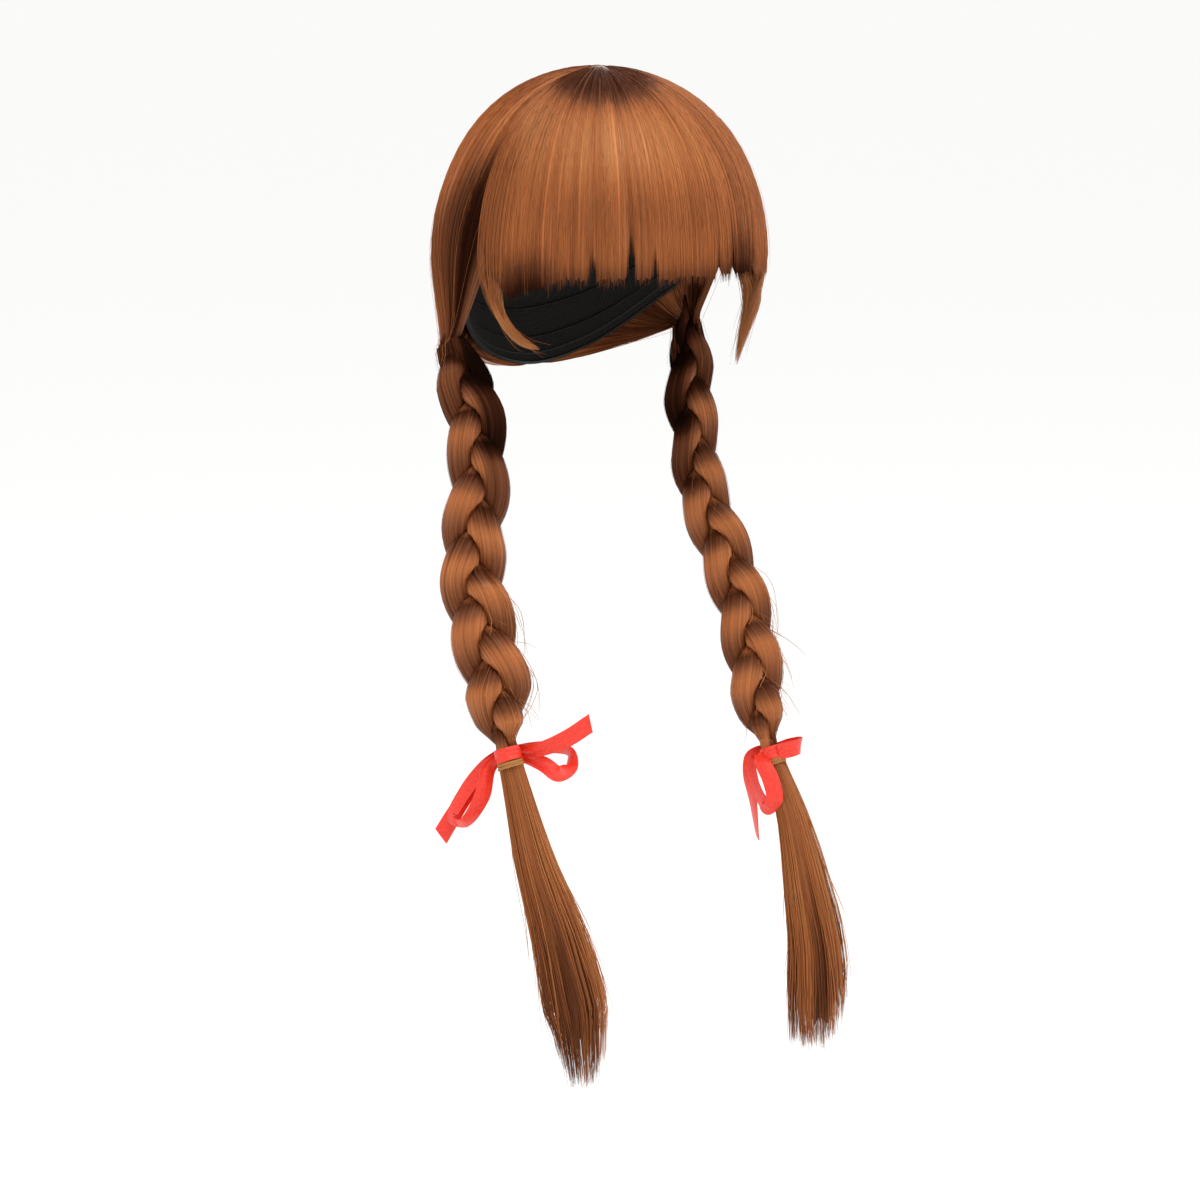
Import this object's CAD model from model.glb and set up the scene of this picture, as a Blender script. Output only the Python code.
# Copper-brown wig with a full fringe and two ribbon-tied braids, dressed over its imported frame
import bpy
import numpy as np
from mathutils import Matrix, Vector


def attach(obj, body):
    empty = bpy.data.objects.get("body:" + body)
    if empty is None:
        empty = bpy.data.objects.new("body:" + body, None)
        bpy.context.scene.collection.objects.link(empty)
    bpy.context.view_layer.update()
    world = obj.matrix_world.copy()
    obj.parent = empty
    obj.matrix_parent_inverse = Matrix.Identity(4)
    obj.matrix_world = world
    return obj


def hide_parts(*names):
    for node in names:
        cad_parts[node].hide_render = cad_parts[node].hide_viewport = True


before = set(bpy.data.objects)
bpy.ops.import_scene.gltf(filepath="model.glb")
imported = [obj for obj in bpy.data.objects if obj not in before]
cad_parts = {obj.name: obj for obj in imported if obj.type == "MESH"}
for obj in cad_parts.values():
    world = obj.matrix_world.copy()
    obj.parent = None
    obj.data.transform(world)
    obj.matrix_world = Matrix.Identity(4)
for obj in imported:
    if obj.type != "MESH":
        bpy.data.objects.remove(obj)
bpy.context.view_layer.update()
scene = bpy.context.scene
mm = 0.001  # shapes are worked out in millimetres and stored in metres


# small helpers

def mix(a, b, share):
    return a + (b - a) * share


def ease(x, low, high):
    share = np.clip((np.asarray(x, float) - low) / (high - low), 0, 1)
    return share * share * (3 - 2 * share)


def column(values):  # one value per fibre, ready to spread along it
    return np.asarray(values, float)[:, None]


def spreadOut(*values):  # arrays of one common shape
    return np.broadcast_arrays(*[np.asarray(v, float) for v in values])


def roundTurn(sides):  # angles right round, each of them once
    return np.linspace(0, 2 * np.pi, sides, endpoint=False)


def backAndForth(turn):  # from 1 to 0 and back to 1 once round, so that streaks meet at the seam
    return np.abs(turn / np.pi - 1)


def linear(hexText):  # sRGB hex to the linear colour that a shader takes
    parts = [int(hexText[i:i + 2], 16) / 255 for i in (1, 3, 5)]
    return [c / 12.92 if c <= 0.04045 else ((c + 0.055) / 1.055) ** 2.4 for c in parts] + [1.0]


def feed(tree, node, wires):  # a value or a link for each input; a node stands for its first output
    for key, value in wires.items():
        value = value.outputs[0] if isinstance(value, bpy.types.Node) else value
        if isinstance(value, bpy.types.NodeSocket):
            tree.links.new(value, node.inputs[key])
        else:
            node.inputs[key].default_value = value


def put(tree, kind, wires=None, **settings):  # adds a node, its settings and its inputs
    node = tree.nodes.new(kind)
    for key, value in settings.items():
        setattr(node, key, value)
    feed(tree, node, wires or {})
    return node


def ramp(tree, factor, stops):  # colour that runs through stops of place and sRGB hex
    node = put(tree, "ShaderNodeValToRGB", {"Fac": factor})
    elements = node.color_ramp.elements
    while len(elements) < len(stops):
        elements.new(0.5)
    for element, (place, hexText) in zip(elements, stops):
        element.position = place
        element.color = linear(hexText)
    return node


def ranged(tree, value, low, high, reach):  # value taken from one range to another
    return put(tree, "ShaderNodeMapRange", {"Value": value, "From Min": low, "From Max": high,
                                            "To Min": reach[0], "To Max": reach[1]})


def newMaterial(name):
    material = bpy.data.materials.new(name)
    material.use_nodes = True
    return material, material.node_tree, material.node_tree.nodes["Principled BSDF"]


def smoothLine(points, steps=40):  # smooth curve through points, the same number of steps between each two
    p = np.asarray(points, float)
    p = np.vstack([2 * p[0] - p[1], p, 2 * p[-1] - p[-2]])
    w = np.arange(steps)[:, None] / steps
    line = []
    for i in range(1, len(p) - 2):
        d = [max(np.linalg.norm(p[i + k] - p[i + k - 1]) ** 0.5, 1e-4) for k in range(3)]
        t1 = (p[i] - p[i - 1]) / d[0] - (p[i + 1] - p[i - 1]) / (d[0] + d[1]) + (p[i + 1] - p[i]) / d[1]
        t2 = (p[i + 1] - p[i]) / d[1] - (p[i + 2] - p[i]) / (d[1] + d[2]) + (p[i + 2] - p[i + 1]) / d[2]
        t1, t2 = t1 * d[1], t2 * d[1]
        line.append(p[i] + t1 * w + (3 * (p[i + 1] - p[i]) - 2 * t1 - t2) * w ** 2
                    + (2 * (p[i] - p[i + 1]) + t1 + t2) * w ** 3)
    return np.vstack(line + [p[-2:-1]])


def arcOf(line):
    return np.concatenate([[0], np.cumsum(np.linalg.norm(np.diff(line, axis=0), axis=1))])


def unit(v):
    return v / np.maximum(np.linalg.norm(v, axis=-1, keepdims=True), 1e-9)


def along3(place, places, values):  # three columns looked up between the rows of a line
    return np.stack([np.interp(place, places, values[:, k]) for k in range(3)], -1)


# camera, lights and floor

stage = dict(
    aim=(-0.0312, -0.0481, -0.2951), back=(-0.5346, -0.8233, 0.1908), distance=2.565, lens=135.0, sensor=36.0,
    floorDrop=0.72, floorSide=60.0, skyHex="#ffffff", sky=1.0, lightAim=(0, -0.02, -0.22),
    lights=[  # name, azimuth and elevation seen from the wig, distance, side, watts
        ("overheadSoftbox", -30, 70, 1.7, 0.9, 15),
        ("frontSoftbox", -10, 24, 2.4, 1.4, 6),
        ("farSideSoftbox", 62, 30, 2.2, 1.0, 4),
    ],
)


def aimed(name, data, place, way):  # camera or light at a place, with its back along a way
    thing = bpy.data.objects.new(name, data)
    thing.location = place
    thing.rotation_mode = "QUATERNION"
    thing.rotation_quaternion = way.to_track_quat("Z", "Y")
    scene.collection.objects.link(thing)
    return thing


camData = bpy.data.cameras.new("photoCamera")
camData.lens, camData.sensor_width = stage["lens"], stage["sensor"]
back = Vector(stage["back"]).normalized()
scene.camera = aimed("photoCamera", camData, Vector(stage["aim"]) + back * stage["distance"], back)
scene.view_settings.view_transform = "Standard"

for lightName, azimuth, elevation, distance, side, watts in stage["lights"]:
    lightData = bpy.data.lights.new(lightName, "AREA")
    lightData.shape, lightData.size, lightData.energy = "SQUARE", side, watts
    a, e = np.radians(azimuth), np.radians(elevation)
    way = Vector((np.sin(a) * np.cos(e), -np.cos(a) * np.cos(e), np.sin(e)))
    aimed(lightName, lightData, Vector(stage["lightAim"]) + way * distance, way)

world = bpy.data.worlds.new("studio")
world.use_nodes = True
feed(world.node_tree, world.node_tree.nodes["Background"],
     {"Color": linear(stage["skyHex"]), "Strength": stage["sky"]})
scene.world = world

half = stage["floorSide"] / 2
corners = [(x * half, y * half, -stage["floorDrop"]) for x, y in ((-1, -1), (1, -1), (1, 1), (-1, 1))]
floorMesh = bpy.data.meshes.new("floor")
floorMesh.from_pydata(corners, [], [(0, 1, 2, 3)])
floor = bpy.data.objects.new("floor", floorMesh)
scene.collection.objects.link(floor)
paperLook = dict(clouds=3.0, roughness=0.9, stops=[(0.0, "#f9f9f8"), (1.0, "#fbfbfa")])  # even white, no gloss
paperMat, tree, shader = newMaterial("matt studio paper")
paperNoise = put(tree, "ShaderNodeTexNoise", {"Scale": paperLook["clouds"], "Detail": 2.0})
feed(tree, shader, {"Base Color": ramp(tree, paperNoise, paperLook["stops"]),
                    "Roughness": paperLook["roughness"]})
floorMesh.materials.append(paperMat)
print("stage ready")


# materials

hairLook = dict(  # heat-resistant synthetic fibre, combed straight: copper, soft shine along the strand
    stops=[(0.0, "#150a06"), (0.18, "#391c11"), (0.38, "#6e3b20"), (0.56, "#aa6133"),
           (0.72, "#c07f49"), (0.86, "#ca996b"), (0.93, "#c8a283"), (1.0, "#b3a098")],
    streaks=170.0, locks=44.0, streakGain=(0.86, 1.12), roughness=(0.34, 0.5), ior=1.55, shine=(0.0, 0.4),
    tint="#ffdcb8",
)
hairMat, tree, shader = newMaterial("copper synthetic fibre")
hairUv = put(tree, "ShaderNodeUVMap", uv_map="OFBake")  # shade across and streak up
hairXyz = put(tree, "ShaderNodeSeparateXYZ", {"Vector": hairUv})
hairNoise, hairLocks = [
    put(tree, "ShaderNodeTexNoise", {"W": hairXyz.outputs["Y"], "Scale": hairLook[key], "Detail": detail},
        noise_dimensions="1D") for key, detail in (("streaks", 2.0), ("locks", 1.0))]
hairSum = put(tree, "ShaderNodeMath", {0: hairNoise, 1: hairLocks}, operation="ADD")
hairTone = put(tree, "ShaderNodeVectorMath", {
    0: ramp(tree, hairXyz.outputs["X"], hairLook["stops"]),
    "Scale": ranged(tree, hairSum, 0.65, 1.35, hairLook["streakGain"])}, operation="SCALE")
feed(tree, shader, {"Base Color": hairTone, "IOR": hairLook["ior"],
                    "Roughness": ranged(tree, hairNoise, 0.3, 0.7, hairLook["roughness"]),
                    "Specular IOR Level": ranged(tree, hairXyz.outputs["X"], 0.2, 0.5, hairLook["shine"]),
                    "Specular Tint": linear(hairLook["tint"])})

netLook = dict(  # knitted net, matt black, its mesh drawn coarser than real
    cell=1.6, uneven=0.35, ridge=0.5, ridgeHeight=0.4, roughness=0.82,
    stops=[(0.06, "#1b1916"), (0.22, "#060505")])
netMat, tree, shader = newMaterial("black stretch net")
netCoord = put(tree, "ShaderNodeTexCoord")
netCells = put(tree, "ShaderNodeTexVoronoi", {"Vector": netCoord.outputs["Object"],
                                              "Scale": 1000 / netLook["cell"],
                                              "Randomness": netLook["uneven"]}, feature="DISTANCE_TO_EDGE")
netBump = put(tree, "ShaderNodeBump", {"Height": netCells, "Strength": netLook["ridge"],
                                       "Distance": netLook["ridgeHeight"] * mm}, invert=True)
feed(tree, shader, {"Base Color": ramp(tree, netCells, netLook["stops"]),
                    "Normal": netBump, "Roughness": netLook["roughness"]})

skinLook = dict(  # thin moulded skin-like patch, with a pore at each root
    poreGap=0.9, roughness=0.55, glow=0.15, glowDepth=2.0, stops=[(0.12, "#7d5a48"), (0.4, "#c7a695")])
skinMat, tree, shader = newMaterial("moulded skin patch")
skinCoord = put(tree, "ShaderNodeTexCoord")
skinPores = put(tree, "ShaderNodeTexVoronoi", {"Vector": skinCoord.outputs["Object"],
                                               "Scale": 1000 / skinLook["poreGap"]})
feed(tree, shader, {"Base Color": ramp(tree, skinPores, skinLook["stops"]),
                    "Roughness": skinLook["roughness"], "Subsurface Weight": skinLook["glow"],
                    "Subsurface Scale": skinLook["glowDepth"] * mm})

satinLook = dict(  # polyester satin, bright red, fine ribs across the ribbon
    rib=0.35, ridge=0.12, ridgeHeight=0.1, clouds=0.5, roughness=0.38, sheen=0.05, sheenRoughness=0.4,
    sheenHex="#ff8a70", stops=[(0.3, "#db2212"), (0.7, "#ee3820")])
satinMat, tree, shader = newMaterial("red polyester satin")
satinUv = put(tree, "ShaderNodeUVMap", uv_map="weave")  # millimetres along and across the ribbon
satinXyz = put(tree, "ShaderNodeSeparateXYZ", {"Vector": satinUv})
satinRib = put(tree, "ShaderNodeMath", {0: satinXyz.outputs["X"], 1: 2 * np.pi / satinLook["rib"]},
               operation="MULTIPLY")
satinSine = put(tree, "ShaderNodeMath", {0: satinRib}, operation="SINE")
satinNoise = put(tree, "ShaderNodeTexNoise", {"Vector": satinUv, "Scale": satinLook["clouds"], "Detail": 3.0})
satinBump = put(tree, "ShaderNodeBump", {"Height": satinSine, "Strength": satinLook["ridge"],
                                         "Distance": satinLook["ridgeHeight"] * mm})
feed(tree, shader, {"Base Color": ramp(tree, satinNoise, satinLook["stops"]),
                    "Normal": satinBump, "Roughness": satinLook["roughness"],
                    "Sheen Weight": satinLook["sheen"], "Sheen Roughness": satinLook["sheenRoughness"],
                    "Sheen Tint": linear(satinLook["sheenHex"])})

rubberLook = dict(  # two-ply covered elastic, dull ochre
    grain=0.8, ridge=0.3, ridgeHeight=0.2, roughness=0.62, stops=[(0.3, "#93602a"), (0.7, "#bd8140")])
rubberMat, tree, shader = newMaterial("ochre covered elastic")
rubberCoord = put(tree, "ShaderNodeTexCoord")
rubberNoise = put(tree, "ShaderNodeTexNoise", {"Vector": rubberCoord.outputs["Object"],
                                               "Scale": 1000 / rubberLook["grain"], "Detail": 3.0})
rubberBump = put(tree, "ShaderNodeBump", {"Height": rubberNoise, "Strength": rubberLook["ridge"],
                                          "Distance": rubberLook["ridgeHeight"] * mm})
feed(tree, shader, {"Base Color": ramp(tree, rubberNoise, rubberLook["stops"]),
                    "Normal": rubberBump, "Roughness": rubberLook["roughness"]})
print("materials ready")


# fibres: a tree that turns centrelines into closed tapered tubes and keeps the shell under them

fibreLook = dict(keys=("isFibre", "thick", "shade", "streak", "loose"), frizzSize=0.018, strip=0.012, seed=7,
                 rootTaper=0.08, strayThick=(0.07, 0.12))


def fibreTree():
    tree = bpy.data.node_groups.new("fibreTubes", "GeometryNodeTree")
    tree.interface.new_socket("Geometry", in_out="INPUT", socket_type="NodeSocketGeometry")
    for label, kind, value in (("Sides", "Int", 3), ("Frizz", "Float", 0.0), ("Seed", "Int", fibreLook["seed"]),
                               ("Frizz Size", "Float", fibreLook["frizzSize"]),
                               ("Strip", "Float", fibreLook["strip"])):
        tree.interface.new_socket(label, in_out="INPUT", socket_type="NodeSocket" + kind).default_value = value
    tree.interface.new_socket("Fibre", in_out="INPUT", socket_type="NodeSocketMaterial")
    tree.interface.new_socket("Geometry", in_out="OUTPUT", socket_type="NodeSocketGeometry")
    given = put(tree, "NodeGroupInput").outputs
    read = {name: put(tree, "GeometryNodeInputNamedAttribute", {"Name": name}, data_type="FLOAT")
            for name in fibreLook["keys"]}
    parts = put(tree, "GeometryNodeSeparateGeometry",
                {"Geometry": given["Geometry"], "Selection": read["isFibre"]}, domain="POINT")
    lines = put(tree, "GeometryNodeMeshToCurve", {"Mesh": parts.outputs["Selection"]})
    place = put(tree, "GeometryNodeInputPosition")
    finer = put(tree, "ShaderNodeMath", {0: 1.0, 1: given["Frizz Size"]}, operation="DIVIDE")
    grain = put(tree, "ShaderNodeTexNoise",
                {"Vector": place, "W": given["Seed"], "Scale": finer, "Detail": 1.0}, noise_dimensions="4D")
    centred = put(tree, "ShaderNodeVectorMath", {0: grain.outputs["Color"], 1: (0.5, 0.5, 0.5)},
                  operation="SUBTRACT")
    amount = put(tree, "ShaderNodeMath", {0: given["Frizz"], 1: read["loose"]}, operation="MULTIPLY")
    push = put(tree, "ShaderNodeVectorMath", {0: centred, "Scale": amount}, operation="SCALE")
    moved = put(tree, "GeometryNodeSetPosition", {"Geometry": lines, "Offset": push})
    ring = put(tree, "GeometryNodeCurvePrimitiveCircle", {"Resolution": given["Sides"], "Radius": 1.0})
    turn = put(tree, "GeometryNodeSplineParameter")
    marked = put(tree, "GeometryNodeStoreNamedAttribute",
                 {"Geometry": ring, "Name": "round", "Value": turn}, data_type="FLOAT", domain="POINT")
    tubes = put(tree, "GeometryNodeCurveToMesh",
                {"Curve": moved, "Scale": read["thick"], "Profile Curve": marked, "Fill Caps": True})
    circle = put(tree, "GeometryNodeInputNamedAttribute", {"Name": "round"}, data_type="FLOAT")
    strip = put(tree, "ShaderNodeMath",
                {0: circle, 1: given["Strip"], 2: read["streak"]}, operation="MULTIPLY_ADD")
    pair = put(tree, "ShaderNodeCombineXYZ", {"X": read["shade"], "Y": strip})
    mapped = put(tree, "GeometryNodeStoreNamedAttribute",
                 {"Geometry": tubes, "Name": "OFBake", "Value": pair}, data_type="FLOAT2", domain="CORNER")
    joined = put(tree, "GeometryNodeJoinGeometry")
    for geometry in (parts.outputs["Inverted"], mapped):
        feed(tree, joined, {"Geometry": geometry})
    smooth = put(tree, "GeometryNodeSetShadeSmooth", {"Geometry": joined, "Shade Smooth": True})
    real = put(tree, "GeometryNodeRealizeInstances", {"Geometry": smooth})
    coloured = put(tree, "GeometryNodeSetMaterial", {"Geometry": real, "Material": given["Fibre"]})
    put(tree, "NodeGroupOutput", {"Geometry": coloured})
    return tree


tubeTree = fibreTree()


def setInput(modifier, label, value):
    for item in modifier.node_group.interface.items_tree:
        if item.item_type == "SOCKET" and item.in_out == "INPUT" and item.name == label:
            modifier[item.identifier] = value


def fibres(points, thick, shade, rng, root=0.8, tip=0.3, tipFrom=0.82, loose=0.0):
    n, m = points.shape[:2]
    t = np.linspace(0, 1, m)
    taper = mix(root, 1, ease(t, 0, fibreLook["rootTaper"])) * mix(1, tip, ease(t, tipFrom, 1))
    return dict(points=points, thick=column(thick) * taper,
                shade=np.clip(np.broadcast_to(shade, (n, m)), 0.01, 0.99),
                streak=np.repeat(rng.uniform(0.0, 0.985, (n, 1)), m, 1), loose=np.broadcast_to(loose * t, (n, m)))


# a few loose hairs that leave the surface
def strays(points, count, rng, lift, shade=0.6, way=None, thick=fibreLook["strayThick"]):
    some = points[rng.choice(len(points), count, replace=False)]
    t = np.linspace(0, 1, some.shape[1])[None, :, None]
    way = unit(rng.normal(0, 1, (count, 1, 3)) + (0 if way is None else 2.5 * way))
    second = unit(rng.normal(0, 1, (count, 1, 3)))
    reach = rng.uniform(0.3, 1, (count, 1, 1)) * lift
    points = some + reach * (way * t ** 2 + 0.35 * second * np.sin(np.pi * 1.5 * t))
    return fibres(points, rng.uniform(*thick, count), shade + column(rng.normal(0, 0.05, count)), rng, tip=0.4)


def gridFaces(index):  # quads over a grid of point numbers
    return np.stack([index[:-1, :-1], index[:-1, 1:], index[1:, 1:], index[1:, :-1]], -1).reshape(-1, 4)


def strip4(upper, lower):  # quads between two rows of point numbers
    return np.stack([upper[:-1], lower[:-1], lower[1:], upper[1:]], -1)


def mapPairs(size, shade, streak):
    return np.stack([np.broadcast_to(values, size) for values in (shade, streak)], -1).reshape(-1, 2)


# closed wall between two grids of points
def wallShell(outer, inner, shade=0.5, streak=0.5, isRound=False, hasPole=False):
    points = np.vstack([outer.reshape(-1, 3), inner.reshape(-1, 3)])
    size = outer.shape[:2]
    count = size[0] * size[1]
    index = np.arange(count).reshape(size)
    if isRound:
        index[:, -1] = index[:, 0]  # the last column closes on the first
    if hasPole:
        index[0] = index[0, 0]
    faces = [gridFaces(index), gridFaces(index + count)[:, ::-1], strip4(index[-1], index[-1] + count)]
    if not hasPole:
        faces += [strip4(index[0] + count, index[0])]
    if not isRound:
        faces += [strip4(index[:, 0], index[:, 0] + count), strip4(index[:, -1] + count, index[:, -1])]
    used, faces = np.unique(np.vstack(faces), return_inverse=True)
    pair = mapPairs(size, shade, streak)
    return dict(points=points[used], faces=faces.reshape(-1, 4), uv=np.vstack([pair, pair])[used], used=used)


def loftShell(rings, shade=0.5, streak=0.5):  # closed solid through rings that run right round
    rows, sides = rings.shape[:2]
    points = np.vstack([rings.reshape(-1, 3), rings[0].mean(0)[None], rings[-1].mean(0)[None]])
    index = np.arange(rows * sides).reshape(rows, sides)
    index = np.concatenate([index, index[:, :1]], 1)  # each ring closes on its first point
    top, low = index[0], index[-1]
    first = np.stack([0 * top[1:] + rows * sides, top[1:], top[:-1], top[:-1]], -1)
    last = np.stack([0 * low[1:] + rows * sides + 1, low[:-1], low[1:], low[1:]], -1)
    pair = mapPairs((rows, sides), shade, streak)
    return dict(points=points, faces=np.vstack([gridFaces(index), first, last]),
                uv=np.vstack([pair, pair[:1], pair[-1:]]))


def outward(points, faces):  # turns the faces round if the closed shell is inside out
    a, b, c = points[faces[:, 0]], points[faces[:, 1]], points[faces[:, 2]]
    d = points[faces[:, 3]]
    volume = (a * np.cross(b, c)).sum() + (a * np.cross(c, d)).sum()
    return faces if volume > 0 else faces[:, ::-1]


def cleanFaces(faces):  # corners that fall together count once
    return [tuple(dict.fromkeys(int(i) for i in face)) for face in faces]


def mapPoints(mesh, label, pairs):  # map with one place for each point
    corners = np.zeros(len(mesh.loops), int)
    mesh.loops.foreach_get("vertex_index", corners)
    mesh.uv_layers.new(name=label).data.foreach_set("uv", pairs[corners].ravel())


def enter(name, mesh, node):  # puts a piece into the scene and the frame
    piece = bpy.data.objects.new(name, mesh)
    scene.collection.objects.link(piece)
    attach(piece, "root")
    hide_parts(node)
    return piece


def tubePiece(name, node, material, groups, shells=(), sides=3, frizz=0.0, keepMap=True):
    points, edges, faces, pairs = [], [], [], []
    values = {key: [] for key in fibreLook["keys"]}
    start = 0
    for group in groups:
        n, m = group["points"].shape[:2]
        index = start + np.arange(n * m).reshape(n, m)
        edges += np.stack([index[:, :-1].ravel(), index[:, 1:].ravel()], -1).tolist()
        points.append(group["points"].reshape(-1, 3))
        pairs.append(np.zeros((n * m, 2)))
        values["isFibre"].append(np.ones(n * m))
        values["thick"].append(group["thick"].ravel() * mm)
        for key in ("shade", "streak", "loose"):
            values[key].append(np.asarray(group[key]).ravel())
        start += n * m
    for shell in shells:
        count = len(shell["points"])
        points.append(shell["points"])
        faces += cleanFaces(outward(shell["points"], shell["faces"]) + start)
        pairs.append(np.clip(shell["uv"], 0.005, 0.995))
        for key in values:
            values[key].append(np.zeros(count))
        start += count
    mesh = bpy.data.meshes.new(name + "Source")
    mesh.from_pydata((np.vstack(points) * mm).tolist(), edges, faces)
    for key, rows in values.items():
        mesh.attributes.new(key, "FLOAT", "POINT").data.foreach_set("value", np.concatenate(rows))
    if shells:
        mapPoints(mesh, "OFBake", np.vstack(pairs))
    source = bpy.data.objects.new(name + "Source", mesh)
    scene.collection.objects.link(source)
    modifier = source.modifiers.new("fibres", "NODES")
    modifier.node_group = tubeTree
    for label, value in (("Sides", sides), ("Frizz", frizz), ("Frizz Size", fibreLook["frizzSize"]),
                         ("Strip", fibreLook["strip"]), ("Seed", fibreLook["seed"]), ("Fibre", material)):
        setInput(modifier, label, value)
    made = source.evaluated_get(bpy.context.evaluated_depsgraph_get())
    result = bpy.data.meshes.new_from_object(made)
    result.name = name
    bpy.data.objects.remove(source)
    bpy.data.meshes.remove(mesh)
    for key in fibreLook["keys"] + ("round",):
        if key in result.attributes:
            result.attributes.remove(result.attributes[key])
    if not keepMap and "OFBake" in result.uv_layers:
        result.uv_layers.remove(result.uv_layers["OFBake"])
    print(name, "triangles", sum(len(p.vertices) - 2 for p in result.polygons))
    return enter(name, result, node)


# cap and hair forms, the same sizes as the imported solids

wigForm = dict(  # half sizes of the inside of the cap and the outside of the hair
    inside=np.array([77.0, 97.0, 103.0]), hair=np.array([88.5, 109.5, 107.0]),
    shoulder=1.8, capWall=1.2, layerGap=1.3)


def shellPoint(azimuth, drop, size):  # point on a shell with these half sizes, by degrees round and down
    a, d = np.radians(azimuth), np.radians(drop)
    way = np.stack([np.sin(d) * np.sin(a), -np.sin(d) * np.cos(a), np.cos(d)], -1)
    return size * way - np.array([0, 0, wigForm["inside"][2]])


def hairPoint(azimuth, drop, layer, extra=0.0):  # layer 0 lies on the cap and layer 1 is the outside of the hair
    azimuth, drop, layer, extra = spreadOut(azimuth, drop, layer, extra)
    rise = wigForm["shoulder"] * layer * np.sin(2 * np.minimum(np.radians(drop), np.pi / 2)) ** 2 + extra
    low = wigForm["inside"] + wigForm["capWall"] + wigForm["layerGap"]
    return shellPoint(azimuth, drop, low + (wigForm["hair"] - low) * layer[..., None] + rise[..., None])


def capPoint(azimuth, drop, height):  # height over the inside of the cap
    azimuth, drop, height = spreadOut(azimuth, drop, height)
    return shellPoint(azimuth, drop, wigForm["inside"] + height[..., None])


def drift(x, seed, size):  # smooth wandering value, about -1 to 1, that repeats for the same seed
    rng = np.random.default_rng(seed)
    total = 0
    for k in range(5):
        wave = size * (0.45 + 0.35 * k)
        total = total + np.sin(2 * np.pi * np.asarray(x) / wave + rng.uniform(0, 6.28)) / 2.4
    return total


# cap: net wall, tape round the rim and rows of sewn wefts inside

cap = dict(rim=[(0, 66), (40, 68), (66, 71), (80, 76), (92, 94), (112, 108), (145, 127), (180, 134)],
           columns=96, rows=28, tape=6.0, tapeRows=4, tapeRadius=95.0, tapeOut=1.9, tapeIn=-0.7,
           weftRows=11, weftLevels=(0.16, 0.93), weftSteps=121, weftIn=-0.45, weftThick=0.62,
           stitchSteps=261, stitchIn=-0.55, stitchThick=0.2, seed=3)
cap["line"] = smoothLine([(-40, 68)] + cap["rim"] + [(215, 127)], 12)


def capRim(azimuth):
    return np.interp(np.abs(azimuth), cap["line"][:, 0], cap["line"][:, 1])


def makeCap():
    azimuth, share = spreadOut(np.linspace(-180, 180, cap["columns"] + 1)[None],
                               np.linspace(0, 1, cap["rows"] + 1)[:, None])
    drop = share * capRim(azimuth)
    shell = wallShell(*[capPoint(azimuth, drop, height) for height in (wigForm["capWall"], 0.0)], isRound=True,
                      hasPole=True)
    rimAz = azimuth[:1]
    tapeShare = np.linspace(0, 1, cap["tapeRows"] + 1)[:, None] * np.ones_like(rimAz)
    tapeDrop = capRim(rimAz) - (1 - tapeShare) * np.degrees(cap["tape"] / cap["tapeRadius"])
    tape = wallShell(*[capPoint(rimAz, tapeDrop, cap[key]) for key in ("tapeOut", "tapeIn")], isRound=True)
    around, zig = np.linspace(-180, 180, cap["weftSteps"]), np.linspace(-180, 180, cap["stitchSteps"])
    swing = np.where(np.arange(cap["stitchSteps"]) % 2, 1.0, -1.0)
    wefts, stitches = [], []
    for k in range(cap["weftRows"]):
        level = mix(*cap["weftLevels"], k / (cap["weftRows"] - 1))
        wefts.append(capPoint(around, level * capRim(around), cap["weftIn"] + 0.1 * np.sin(around * 2.4)))
        stitches.append(capPoint(zig, level * capRim(zig) + swing, cap["stitchIn"]))  # zigzag over each row
    rng = np.random.default_rng(cap["seed"])
    groups = [fibres(np.array(lines), np.full(len(lines), thick), 0.5, rng, root=1, tip=1)
              for lines, thick in ((wefts, cap["weftThick"]), (stitches, cap["stitchThick"]))]
    return tubePiece("wigCap", "wig_cap", netMat, groups, [shell, tape], sides=4, keepMap=False)


makeCap()


# parting patch

patch = dict(drop=3.6, top=3.75, base=2.5, edgeFall=0.5, columns=40, rows=6)


def makePatch():
    azimuth, share = spreadOut(np.linspace(0, 360, patch["columns"] + 1)[None],
                               np.linspace(0, 1, patch["rows"] + 1)[:, None])
    drop = share * patch["drop"]
    dome = patch["top"] - patch["edgeFall"] * share ** 4
    shell = wallShell(*[capPoint(azimuth, drop, height) for height in (dome, patch["base"])], isRound=True,
                      hasPole=True)
    return tubePiece("crownPatch", "crown_patch", skinMat, [], [shell], keepMap=False)


makePatch()


# side locks in front of the braids

sideLocks = dict(
    right=[(-78.3, -24.4, -88, 5, 1.1), (-79.6, -19, -102, 4.7, 1.2), (-82.2, -16.5, -118, 4.2, 1.7),
           (-81, -26, -134, 3.8, 1.8), (-78, -40, -144, 3, 1.5), (-75, -53.8, -147, 1, 0.7)],
    left=[(76.5, -30, -88, 7, 1.2), (77.8, -30.2, -112, 7, 1.2), (84, -32, -124, 6.8, 4.6),
          (84, -32, -134, 6.2, 4.8), (78.5, -32, -151, 4.4, 3), (73, -32, -170, 1, 0.8)],
    top=dict(right=1.0, left=0.35), count=230, points=15, thick=(0.09, 0.17), frizz=0.0015, strays=9,
    strayLift=7.0, tone=0.66, rootDark=0.12, rows=24, sides=30, ridge=0.06, shellTone=0.61, shellEnd=0.93,
    shellShare=(0.78, 0.4), seed=91,
)


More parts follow.
